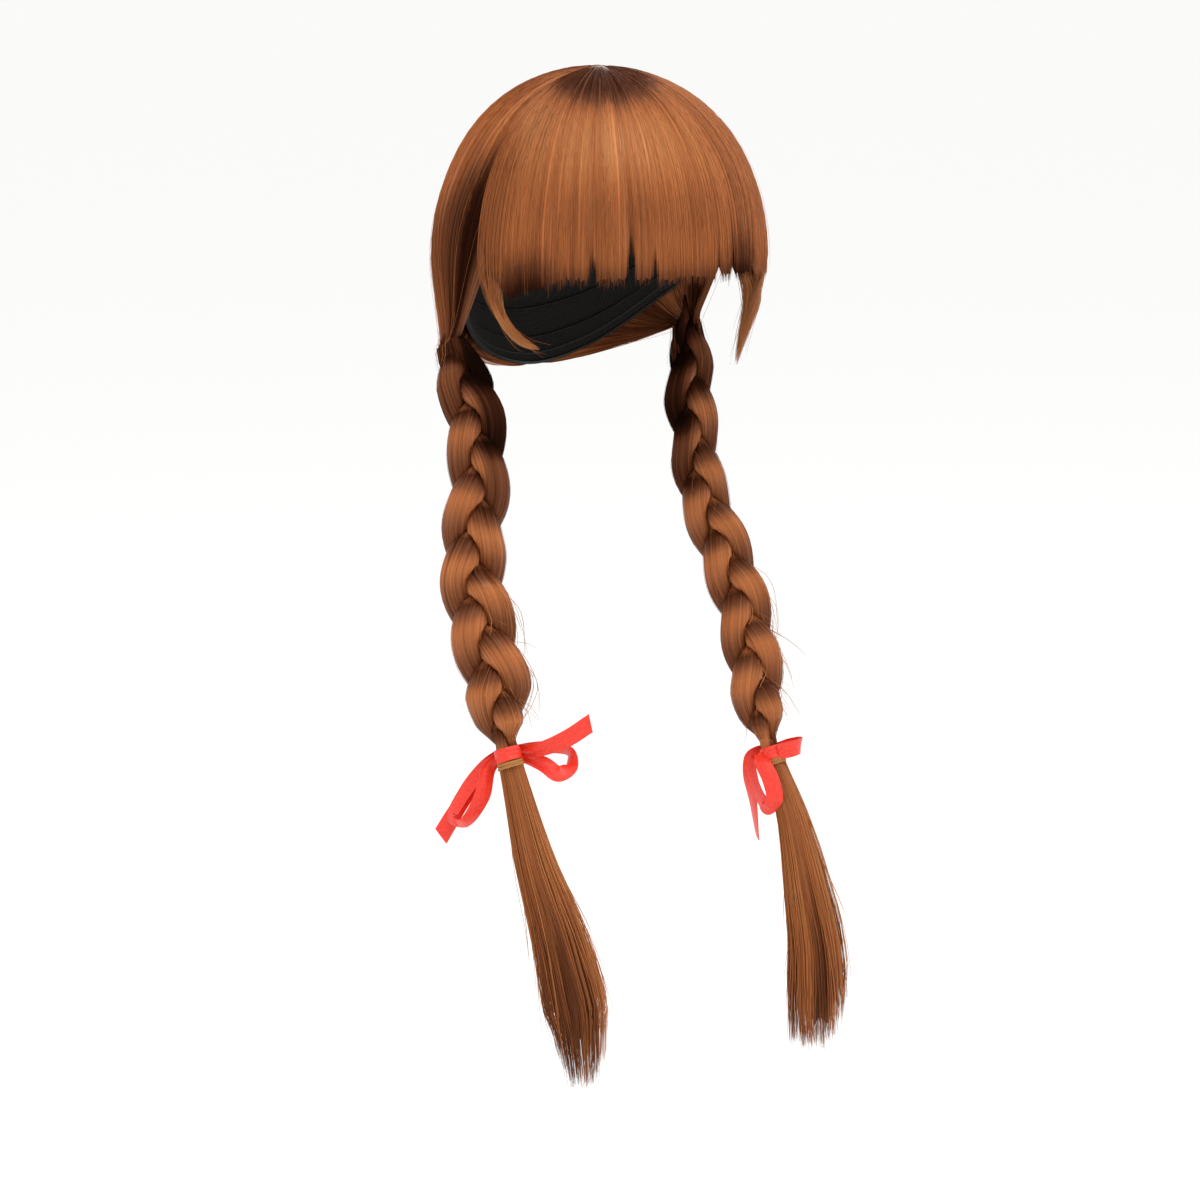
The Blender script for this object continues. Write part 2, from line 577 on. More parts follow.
def lockAt(name, along, turn, spread):  # point in a side lock, along it and round its middle line
    rows = np.array(sideLocks[name], float)
    line = smoothLine(rows[:, :3], 20)
    place = np.linspace(0, 1, len(line))
    steps = np.linspace(0, 1, len(rows))
    run = unit(np.gradient(line, axis=0))
    out = unit(line / wigForm["inside"] ** 2 * [1, 1, 0])
    out = unit(out - run * (out * run).sum(-1, keepdims=True))
    wide = np.cross(run, out)
    x = np.cos(turn) * spread * np.interp(along, steps, rows[:, 3])
    y = np.sin(turn) * spread * np.interp(along, steps, rows[:, 4])
    line, wide, out = (along3(along, place, values) for values in (line, wide, out))
    return line + wide * x[..., None] + out * y[..., None]


def makeSideLock(braid):
    rng = np.random.default_rng(sideLocks["seed"] + braid["side"])
    n, m = sideLocks["count"], sideLocks["points"]
    t = np.linspace(0, 1, m)[None] * column(rng.uniform(0.82, 1.0, n))
    turn, spread = column(rng.uniform(0, 2 * np.pi, n)), column(np.sqrt(rng.uniform(0.1, 1.1, n)))
    points = lockAt(braid["name"], t, turn + 0 * t, spread)
    tone = (sideLocks["tone"] + column(rng.normal(0, 0.06, n)) - sideLocks["rootDark"] * (1 - ease(t, 0.1, 0.5))
            + 0.05 * np.cos(turn))
    group = fibres(points, rng.uniform(*sideLocks["thick"], n), tone, rng, tip=0.15, tipFrom=0.6, loose=0.7)
    loose = strays(points, sideLocks["strays"], rng, sideLocks["strayLift"])
    gridT, gridTurn = spreadOut(np.linspace(0, sideLocks["shellEnd"], sideLocks["rows"])[:, None],
                                roundTurn(sideLocks["sides"])[None])
    ridge = rng.normal(0, sideLocks["ridge"], sideLocks["sides"])[None]
    full = mix(*sideLocks["shellShare"], ease(gridT, 0.5, sideLocks["shellEnd"]))
    full = full * mix(sideLocks["top"][braid["name"]], 1, ease(gridT, 0.3, 0.55))
    tone = sideLocks["shellTone"] + 0.8 * ridge - sideLocks["rootDark"] * (1 - ease(gridT, 0.1, 0.5))
    shell = loftShell(lockAt(braid["name"], gridT, gridTurn, full * (1 + ridge)), tone, backAndForth(gridTurn))
    return tubePiece("sideLock" + braid["name"].title(), "side_lock_" + braid["name"], hairMat,
                     [group, loose], [shell], frizz=sideLocks["frizz"])


# fringe

fringe = dict(
    azimuth=[0, 50, 66, 72, 80, 86], edge=[92.5, 93, 97.5, 99.5, 92, 80], halfAngle=86, lapStart=56,
    edgeWall=(0.3, 0.68), sideWall=(0.72, 1.12), templeLayer=0.42,
    gaps=[(-41.5, 1.5, 7), (-28, 1.9, 14), (-19.5, 1.4, 6), (7, 1.4, 6), (15, 1.4, 8), (31, 1.7, 11)],
    count=1130, points=15, shortCount=800, shortPoints=6, bareCount=34, thick=(0.1, 0.18), clump=4.2,
    strays=30, strayLift=3.0, frizz=0.001,
    columns=400, rows=20, ridge=0.07, shellSink=0.45, runOn=((-86, -73, "right", 90), (54, 85, "left", 220)),
    tone=0.505, rootDark=0.28, bareTone=0.98, runTone=0.54, toneSpread=0.026, shellSpread=0.016, seed=11,
)


def fringeEdge(azimuth):
    drop = np.interp(np.abs(azimuth), fringe["azimuth"], fringe["edge"])
    for place, halfWidth, height in fringe["gaps"]:
        drop = drop - height * np.maximum(0, 1 - np.abs(azimuth - place) / halfWidth)
    return drop


def fringeAt(azimuth, drop, along, depth, lift=0.0):  # depth 0 is the inside of the fringe and 1 the outside
    out = np.abs(azimuth)
    side = ease(out, 32, 62)
    lap = ease(out, fringe["lapStart"] - 6, fringe["lapStart"])
    end = ease(out, fringe["lapStart"] + 10, fringe["halfAngle"])
    outer = mix(1, mix(fringe["edgeWall"][1], fringe["sideWall"][1], side), ease(along, 0.6, 1))
    outer = mix(outer, 0.85, end)
    inner = mix(0, mix(fringe["edgeWall"][0], fringe["sideWall"][0], side), ease(along, 0.72, 1))
    lapLayer = mix(0, fringe["templeLayer"] + 0.19, lap)
    inner = mix(np.maximum(inner, lapLayer), lapLayer, end)
    return hairPoint(azimuth, drop, mix(inner, outer, depth), 0.5 * lap * (1 - depth) + lift)


def fringeTone(az, drop, t):  # brown roots at the whorl, a light band halfway down, darker cut ends
    tone = 0.02 * drift(az, 8, 14.0) + 0.01 * drift(az, 18, 5.0) + 0.01 * drift(az, 28, 1.6)
    band = ease(drop, 30, 44) * (1 - ease(drop, 54, 72)) * (0.12 + 0.03 * drift(az, 38, 7.0))
    band = band * (1 - 0.9 * ease(az, -8, 28)) * (1 - 0.4 * ease(-az, 42, 66))
    reach = 17 + 18 * np.maximum(0, np.cos(np.radians(az + 36))) ** 2
    roots = 1 - ease(drop, 0.75 * reach, reach + 4 + 2 * drift(az, 48, 11.0))
    ends = 0.04 * ease(drop, 72, 84) - 0.2 * ease(t, 0.92, 1.0) * (1 - 0.75 * ease(az, 22, 36))
    nearCorner = 0.3 * ease(-az, 50, 64) * (1 - ease(-az, 69, 80)) * ease(t, 0.8, 0.98)
    farCorner = 0.2 * ease(az, 6, 17) * (1 - ease(az, 24, 38)) * ease(t, 0.78, 0.95)
    tone = tone + 0.06 * ease(-az, 45, 70)
    tone = fringe["tone"] + tone * (1 - 0.7 * roots) + band + ends
    return tone - fringe["rootDark"] * roots - nearCorner - farCorner


def makeFringe():
    rng = np.random.default_rng(fringe["seed"])
    half = fringe["halfAngle"]
    centres = np.cumsum(rng.uniform(0.35, 1.65, 70) * fringe["clump"]) - half - 3
    groups = []
    for n, m, first, low in ((fringe["count"], fringe["points"], 0.0, 1.0),
                             (fringe["shortCount"], fringe["shortPoints"], 0.55, 0.4)):
        t = mix(first, 1, np.linspace(0, 1, m)[None] ** column(rng.uniform(0.88, 1.14, n)))
        az = column(rng.uniform(-half, half, n))
        near = centres[np.abs(az - centres[None]).argmin(1)][:, None]
        depth = column(1 - (1 - low) * rng.uniform(0, 1, n) ** 2)
        tipAz = np.clip(mix(az, near, column(rng.uniform(-0.05, 0.3, n))), -half, half)
        azimuth = mix(az, tipAz, ease(t, 0.5, 1)) + 0.4 * drift(t + az, 5, 1.3) * t
        edge = fringeEdge(tipAz) + column(rng.normal(0.5, 0.75, n)) - 2.0 * (1 - depth)
        drop = mix(column(rng.uniform(2.6, 5.2, n)), edge, t)
        lift = 0.2 * drift(az, 21, 9.0) * ease(t, 0.1, 0.5) + column(rng.uniform(-0.2, 0.15, n))
        points = fringeAt(azimuth, drop, t * edge / fringeEdge(tipAz), depth, lift)
        tone = fringeTone(az, drop, t) + column(rng.normal(0, fringe["toneSpread"], n)) - 0.2 * (1 - depth)
        groups.append(fibres(points, rng.uniform(*fringe["thick"], n), tone, rng, loose=0.4))
    groups.append(strays(groups[0]["points"], fringe["strays"], rng, fringe["strayLift"]))
    n = fringe["bareCount"]  # pale bare roots at the whorl
    az, t = column(rng.uniform(-66, -20, n)), np.linspace(0, 1, 4)[None]
    bare = fringeAt(az, mix(2.4, column(rng.uniform(7, 13.5, n)), t), t * 0, 1.0, 0.4)
    groups.append(fibres(bare, rng.uniform(0.09, 0.16, n), fringe["bareTone"], rng, tip=0.1, tipFrom=0.2))
    for low, high, name, n in fringe["runOn"]:  # hair that runs on from the fringe into the side lock
        t = np.linspace(0, 1, fringe["points"])[None]
        az = column(rng.uniform(low, high, n))
        drop = mix(column(rng.uniform(44, 68, n)), 105, np.minimum(t / 0.8, 1))
        onFringe = fringeAt(az, drop, np.minimum(drop / fringeEdge(az), 1), 1.0, column(rng.uniform(0.1, 0.6, n)))
        place = np.clip(mix(-0.35, column(rng.uniform(0.7, 0.98, n)), t), 0, 1)
        inLock = lockAt(name, place, column(rng.uniform(0, 2 * np.pi, n)) + 0 * t,
                        column(rng.uniform(0.2, 0.9, n)))
        points = mix(onFringe, inLock, ease(t, 0.5, 0.95)[..., None])
        tone = fringe["runTone"] + column(rng.normal(0, 0.05, n)) + 0.12 * ease(t, 0.5, 0.9)
        groups.append(fibres(points, rng.uniform(*fringe["thick"], n), tone, rng, root=0.3, tip=0.2, tipFrom=0.7,
                             loose=0.5))
    columns = fringe["columns"] + 1
    gridAz, gridT = spreadOut(np.linspace(-half + 0.5, half - 0.5, columns)[None],
                              np.linspace(0, 1, fringe["rows"] + 1)[:, None])
    gridDrop = mix(3.4, fringeEdge(gridAz) - 0.9 + rng.normal(0, 0.5, columns)[None], gridT)
    lift = (0.2 * drift(gridAz, 21, 9.0) * ease(gridT, 0.1, 0.5) - fringe["shellSink"]
            + rng.normal(0, fringe["ridge"], columns)[None])
    tone = fringeTone(gridAz, gridDrop, gridT) - 0.02 + rng.normal(0, fringe["shellSpread"], columns)[None]
    shell = wallShell(fringeAt(gridAz, gridDrop, gridT, 1.0, lift),
                      fringeAt(gridAz, gridDrop - 2.5 * gridT, gridT, 0.12),
                      tone, (gridAz + half) / (2 * half))
    return tubePiece("fringeHair", "fringe", hairMat, groups, [shell], frizz=fringe["frizz"])


makeFringe()


# braids: routes and girths

braids = [
    dict(name="right", side=-1, face=-33, halfWidth=18.4, halfDepth=12.5, phase=171, end=10, spread=15.5, seed=31,
         route=[(-77, 30, -155), (-80, 12, -181), (-83, 0, -212), (-87, -6, -240), (-91, -7, -262),
                (-92, -10, -284), (-93, -18, -304), (-92, -25, -322), (-90, -31, -344), (-90, -36, -366),
                (-89, -44, -385), (-83, -59, -438), (-78, -77, -480), (-73, -88, -522), (-68, -88, -566)]),
    dict(name="left", side=1, face=-24, halfWidth=15.8, halfDepth=11.2, phase=19, end=10, spread=14.5, seed=47,
         route=[(77, 28, -155), (77, 22, -190), (78, 17, -222), (81, 15, -248), (86, 8, -271),
                (90, -1, -292), (93, -12, -318), (94, -18, -338), (94, -24, -357), (95, -29, -382),
                (98, -39, -408), (101, -52, -437), (104, -62, -478), (106, -70, -518), (108, -71, -576)]),
]
plait = dict(
    length=111.0, start=-20.0, rootOut=2.8, gap=0.4, press=8, swing=(0.47, 0.45), strandShare=(0.6, 0.62),
    count=30, points=60, thick=(0.08, 0.14), frizz=0.0012, strays=9, strayLift=13.0, hairPoints=9,
    wisps=12, wispLift=15.0, wispThick=(0.11, 0.19), rows=90, sides=108, ridge=0.009, tone=0.48, toneSpread=0.05,
    along=[0, 0.12, 0.3, 0.6, 0.84, 0.91, 0.946, 1], share=[0.9, 0.98, 0.88, 1, 1.02, 0.74, 0.33, 0.31],
    slimAt=[-22, -12, -3, 8, 24, 42], slim=[0.1, 0.14, 0.44, 0.64, 0.9, 1],  # starts inside the crown hair
)

for braid in braids:
    braid["line"] = smoothLine(braid["route"])
    braid["arc"] = arcOf(braid["line"])
    braid["run"] = unit(np.gradient(braid["line"], axis=0))
    braid["whole"] = braid["arc"][-1]
    braid["toEnd"] = arcOf(smoothLine(braid["route"][:braid["end"] + 1]))[-1]


def braidFrame(braid, length):
    a = np.radians(braid["face"])
    facing = np.array([np.sin(a), -np.cos(a), 0])
    centre = along3(length, braid["arc"], braid["line"])
    run = unit(along3(length, braid["arc"], braid["run"]))
    centre = centre + run * np.minimum(length, 0)[..., None]
    forward = unit(facing - run * (run @ facing)[..., None])
    right = np.cross(forward, run)
    centre = centre + right * (braid["side"] * plait["rootOut"] * (1 - ease(length, 4, 48)))[..., None]
    return centre, run, right, forward


def braidSpot(braid, length):  # middle and axes of a braid at one place
    return [v[0] for v in braidFrame(braid, np.array([float(length)]))]


def beside(spot, x, y):  # points to the right and in front of the middle of a braid
    centre, _, right, forward = spot
    return centre + right * x[..., None] + forward * y[..., None]


def strandTurn(braid, length, strand):
    return np.radians(braid["phase"]) + 2 * np.pi * (length / plait["length"] + strand / 3)


# place of a strand across and in front of the middle of its braid, with its half width and half depth
def strandPlace(braid, along, length, strand):
    share = np.interp(along, plait["along"], plait["share"]) * np.interp(length, plait["slimAt"], plait["slim"])
    turn = strandTurn(braid, length, strand)
    wide, deep = braid["halfWidth"] * share, braid["halfDepth"] * share ** 0.6
    swing, part = plait["swing"], plait["strandShare"]
    return swing[0] * wide * np.sin(turn), swing[1] * deep * np.sin(2 * turn), part[0] * wide, part[1] * deep


def strandAt(braid, strand, along, angle, depth):  # point on a strand, pressed against its two neighbours
    length = mix(plait["start"], braid["toEnd"], along)
    x, y, wide, deep = strandPlace(braid, along, length, strand)
    dx, dy = np.cos(angle), np.sin(angle)
    press = plait["press"]
    nearness = np.hypot(dx / wide, dy / deep) ** press
    for other in range(3):
        if other != strand:
            ox, oy, _, _ = strandPlace(braid, along, length, other)
            apart = np.hypot(ox - x, oy - y)
            facing = (dx * (ox - x) + dy * (oy - y)) / apart
            wall = np.maximum(apart / 2 - plait["gap"] / 2, 0.5)
            nearness = nearness + np.maximum(facing / wall, 0) ** press
    reach = depth * nearness ** (-1 / press)
    return beside(braidFrame(braid, length), x + reach * dx, y + reach * dy)


def braidGirth(braid, length):  # reach of the strands from the middle of the braid, each 5 degrees round it
    turns = roundTurn(60)
    along = np.full(len(turns), (length - plait["start"]) / (braid["toEnd"] - plait["start"]))
    centre, _, right, forward = braidSpot(braid, length)
    spots = np.vstack([strandAt(braid, strand, along, turns, 1.0) for strand in range(3)]) - centre
    place, reach = np.arctan2(spots @ forward, spots @ right), np.hypot(spots @ right, spots @ forward)
    ways = np.radians(np.arange(0, 361, 5))
    apart = np.abs((ways[:, None] - place[None] + np.pi) % (2 * np.pi) - np.pi)
    return ways, np.where(apart < 0.3, reach[None], 0).max(1)


def strandTone(braid, strand, along, angle):  # light on the crest of a turn, dark at the root and inside it
    length = mix(plait["start"], braid["toEnd"], along)
    x, y, wide, deep = strandPlace(braid, along, length, strand)
    inward = -braid["side"] * (x + wide * np.cos(angle))
    crest = y / np.maximum(0.72 * deep, 0.5)
    emerging = 1 - ease(strandTurn(braid, length, strand) % np.pi, 0.15, 0.95)  # from under another strand
    return (plait["tone"] + 0.1 * crest - 0.24 * emerging - 0.04 * ease(length, 90, 180)
            - 0.1 * (1 - ease(length, 30, 140)) - 0.17 * (1 - ease(length, 6, 50))
            - 0.26 * (1 - ease(length, 50, 120)) * ease(inward, -3, 9))


def makeStrand(braid, strand):
    rng = np.random.default_rng(braid["seed"] + strand)
    n, m = plait["count"], plait["points"]
    t = np.broadcast_to(np.linspace(0, 1, m)[None], (n, m))
    angle = column(roundTurn(n) + rng.normal(0, 0.05, n)) + 0 * t
    sway = 0.12 * drift(t * 3 + angle, braid["seed"], 2.1)
    points = strandAt(braid, strand, t, angle + sway, column(rng.uniform(1.0, 1.04, n)))
    tone = strandTone(braid, strand, t, angle) + 0.03 + column(rng.normal(0, plait["toneSpread"], n))
    groups = [fibres(points, rng.uniform(*plait["thick"], n), tone, rng, root=1, tip=0.8, tipFrom=0.95,
                     loose=0.4)]
    for _ in range(plait["strays"]):  # short hairs that spring out of the plait
        begin = rng.integers(14, m - 12)
        groups.append(strays(points[:, begin:begin + plait["hairPoints"]], 1, rng, plait["strayLift"], 0.58))
    _, run, right, _ = braidSpot(braid, 0.82 * braid["toEnd"])
    for _ in range(plait["wisps"]):  # wisps that stand off beside the lower half
        begin = rng.integers(m // 2 + 4, m - 12)
        outer = np.argsort(points[:, begin] @ right)[-4:]
        groups.append(strays(points[outer, begin:begin + plait["hairPoints"]], 1, rng, plait["wispLift"], 0.62,
                             way=0.7 * right + 0.5 * run, thick=plait["wispThick"]))
    sides = plait["sides"]
    gridT, gridAngle = spreadOut(np.linspace(0, 1, plait["rows"])[:, None], roundTurn(sides)[None])
    ridge = rng.normal(0, plait["ridge"], sides)[None]
    ridge = ridge + 0.008 * drift(gridAngle * 4, braid["seed"] + strand, 1.3)
    gridTone = strandTone(braid, strand, gridT, gridAngle) + rng.normal(0, 0.022, sides)[None] + 2.5 * ridge
    sway = 0.1 * drift(gridT * 3, braid["seed"], 2.1)
    shell = loftShell(strandAt(braid, strand, gridT, gridAngle + sway, 0.99 + ridge), gridTone,
                      backAndForth(gridAngle))
    name = f"braid{braid['name'].title()}Strand{strand + 1}"
    return tubePiece(name, f"braid_{braid['name']}_strand_{strand + 1}", hairMat, groups, [shell],
                     frizz=plait["frizz"])


# crown hair of each side, gathered into the root of its braid

crown = dict(
    across=[0, 0.2, 0.4, 0.68, 1], startAz=[60, 110, 180, 180, 180], startDrop=[4.2, 4.2, 4.2, 72, 133],
    firstAz=[60, 106, 172, 168, 164], firstDrop=[48, 50, 62, 94, 137],
    secondAz=[80, 108, 142, 140, 132], secondDrop=[86, 92, 108, 118, 128], join=[10, 85, 150, 205, 262],
    templeLayer=0.42, napeLayer=0.5, groove=0.4, partGap=0.8, swell=2.5, ringInner=4.0, ringRise=2.0,
    ringGirth=0.94, girthAt=4.0, tails=(6, 14, 24), shellSink=(0.93, 0.75, 0.5), fibreSink=(0.97, 0.92, 0.74),
    count=850, points=20, innerCount=260, innerPoints=8, edgeCount=130, thick=(0.1, 0.18), frizz=0.001,
    strays=22, strayLift=(2.5, 10.0), columns=260, rows=24, ridge=0.09, shellUnder=0.45, tone=0.48, rootTone=0.19,
    toneSpread=0.035, shellSpread=0.025, seed=61,
)


def crownAt(braid, across, along, depth, lift=0.0):  # depth 0 lies on the cap and 1 is the outside of the hair
    across, along, depth, lift = spreadOut(across, along, depth, lift)
    flow = {key: np.interp(across, crown["across"], crown[key]) for key in
            ("startAz", "startDrop", "firstAz", "firstDrop", "secondAz", "secondDrop", "join")}
    centre, run, right, forward = braidSpot(braid, 0)
    hair = wigForm["hair"]
    rootAz = np.degrees(np.arctan2(abs(centre[0]) / hair[0], -centre[1] / hair[1]))
    rootDrop = np.degrees(np.arccos((centre[2] + wigForm["inside"][2]) / hair[2]))
    s = 1 - along
    az, drop = (s ** 3 * flow["start" + part] + 3 * s * s * along * flow["first" + part]
                + 3 * s * along * along * flow["second" + part] + along ** 3 * root
                for part, root in (("Az", rootAz), ("Drop", rootDrop)))
    layer = np.minimum(mix(crown["templeLayer"], 1, ease(across, 0.13, 0.29)),
                       mix(crown["napeLayer"], 1, ease(1 - across, 0, 0.12)))
    layer = layer - crown["groove"] * ease(across, 0.34, 0.46) * (1 - ease(along, 0, 0.16))
    swell = crown["swell"] * ease(across, 0.05, 0.2) * (1 - ease(across, 0.4, 0.8))
    swell = swell * np.sin(np.pi * ease(along, 0.35, 1))
    onCap = hairPoint(az, drop, layer * depth, swell * depth + lift)
    onCap[..., 0] = braid["side"] * np.maximum(onCap[..., 0], crown["partGap"] / 2)
    turn = np.radians(flow["join"])
    way = np.stack([braid["side"] * np.sin(turn), -np.cos(turn), np.zeros_like(turn)], -1)
    way = unit(way - run * (way @ run)[..., None])
    theta = np.arctan2(way @ forward, way @ right) % (2 * np.pi)
    girth = crown["ringGirth"] * np.interp(theta, *braidGirth(braid, crown["girthAt"]))
    ring = centre - run * crown["ringRise"] + way * (mix(crown["ringInner"], girth, depth) + lift)[..., None]
    return mix(onCap, ring, ease(along, 0.66, 1)[..., None])


def crownRun(braid, across, along, depth, lift, ends, sink):  # hair over the cap and on over the braid's root
    points = crownAt(braid, across, along, depth, lift)
    centre, run, right, forward = braidSpot(braid, 0)
    spoke = points[:, -1] - (centre - run * crown["ringRise"])
    theta = np.arctan2(spoke @ forward, spoke @ right) % (2 * np.pi)
    close = mix(0.3, 1, np.broadcast_to(depth, points.shape[:2])[:, -1])
    lift = np.broadcast_to(lift, points.shape[:2])[:, -1]
    tail = []
    for ahead, share in zip(crown["tails"], sink):
        girths = np.stack([np.interp(theta, *braidGirth(braid, place)) for place in (0.4 * ahead, ahead)])
        reach = mix(girths[0], girths[1], (ends - 0.4) / 0.6) * share * close + lift
        tail.append(beside(braidFrame(braid, ahead * ends), reach * np.cos(theta), reach * np.sin(theta)))
    return np.concatenate([points, np.stack(tail, 1)], 1)


def crownTone(across, along):  # dark under the fringe's end, a paler band halfway, dark roots
    tone = crown["tone"] + 0 * along
    for amount, seed, size in ((0.03, 33, 0.11), (0.025, 43, 0.031), (0.018, 53, 0.011)):
        tone = tone + amount * drift(across, seed, size)
    under = ease(across, 0.01, 0.07) * (1 - ease(across, 0.15, 0.23))
    under = under * ease(along, 0.3, 0.52) * (1 - 0.4 * ease(along, 0.86, 1))
    outer = ease(across, 0.18, 0.22) * (1 - ease(across, 0.3, 0.36)) * ease(along, 0.45, 0.6)
    band = ease(along, 0.16, 0.3) * (1 - ease(along, 0.42, 0.6)) * 0.1
    roots = (1 - ease(along, 0.02, 0.12)) * (1 - ease(across, 0.36, 0.44))
    tone = tone + band - 0.3 * under - 0.02 * outer - 0.1 * roots
    return mix(tone, crown["rootTone"], 0.85 * ease(along, 0.78, 1))  # shade at the root of the braid


def makeCrown(braid):
    rng = np.random.default_rng(crown["seed"] + braid["side"])
    more = len(crown["tails"])
    groups = []
    for n, m, high, first, reach in (  # outside, inside, and the front edge
            (crown["count"], crown["points"], 1.0, 0.0, 1),
            (crown["innerCount"], crown["innerPoints"], 0.03, 0.4, 1),
            (crown["edgeCount"], crown["points"], 0.5, 0.15, 0.015)):
        across = column(rng.uniform(0.0, reach, n))
        start = column(np.where(rng.uniform(0, 1, n) < 0.75, 0, rng.uniform(0, 0.3, n)) + first)
        t = np.linspace(0, 1, m)[None] ** column(rng.uniform(0.88, 1.14, n))
        along = mix(start, 1, t)
        wander = 0.006 * drift(across * 40 + t * 2, 15, 3.0) * np.sin(np.pi * t)
        lift = 0.2 * drift(across, 77, 0.06) * ease(along, 0.05, 0.4) * (high > 0.5)
        lift = lift + column(rng.uniform(-0.2, 0.15, n))
        depth = high + column(rng.uniform(-0.5, 0.5, n)) * (reach < 0.5) + 0 * t
        points = crownRun(braid, np.clip(across + wander * (reach > 0.5), 0, 1), along, depth, lift,
                          rng.uniform(0.4, 1, n), crown["fibreSink"])
        along = np.concatenate([along, np.ones((n, more))], 1)
        tone = crownTone(across, along) + column(rng.normal(0, crown["toneSpread"], n))
        tone = tone - 0.15 * (high < 0.4) - 0.07 * (reach < 0.5)
        groups.append(fibres(points, rng.uniform(*crown["thick"], n), tone, rng, root=0.9, tip=0.4, tipFrom=0.9,
                             loose=0.4))
    outside = groups[0]["points"]
    groups.append(strays(outside[:, :-more], crown["strays"], rng, crown["strayLift"][0], 0.56))
    groups.append(strays(outside[:, 9:], crown["strays"], rng, crown["strayLift"][1], 0.54))
    columns = crown["columns"] + 1
    gridX, gridT = spreadOut(np.linspace(0.013, 0.998, columns)[:, None],
                             np.linspace(0, 1, crown["rows"] + 1)[None])
    lift = 0.2 * drift(gridX, 77, 0.06) * ease(gridT, 0.05, 0.4) - crown["shellUnder"]
    lift = lift + column(rng.normal(0, crown["ridge"], columns))
    outer, inner = (crownRun(braid, gridX, gridT, depth + 0 * gridX, rise, np.ones(columns), crown["shellSink"])
                    .swapaxes(0, 1) for depth, rise in ((1.0, lift), (0.04, 0.0)))
    tone = np.concatenate([crownTone(gridX, gridT), crownTone(gridX[:, -more:], np.ones((columns, more)))], 1)
    tone = tone - 0.02 + column(rng.normal(0, crown["shellSpread"], columns))
    shell = wallShell(outer, inner, tone.T, np.concatenate([gridX, gridX[:, -more:]], 1).T)
    return tubePiece("crownHair" + braid["name"].title(), "crown_hair_" + braid["name"], hairMat,
                     groups, [shell], frizz=crown["frizz"])


# tufts below the elastics

tuft = dict(
    count=700, points=14, thick=(0.13, 0.24), frizz=0.003, headShare=0.32, early=1.0, flat=0.72, lockCount=13,
    tips=80, tipsFrom=220, tipLift=5.5, tipThick=(0.12, 0.2), tone=0.54,
    rows=26, sides=44, fill=(0.92, 0.74), ridge=0.05, shellTone=0.42,
    right=dict(centreLength=1.0, rimLength=0.87, flare=4.6, taper=0.3, shift=0.0, slant=0.0, dark=0.12,
               shellEnd=0.9),
    left=dict(centreLength=0.985, rimLength=0.95, flare=6.2, taper=0.06, shift=1.8, slant=0.11, dark=0.13,
              shellEnd=0.94),
)


def flareAt(t):
    return mix(np.clip((t + 0.1) / 1.02, 0, 1), ease(t, -0.1, 0.92), 0.5)


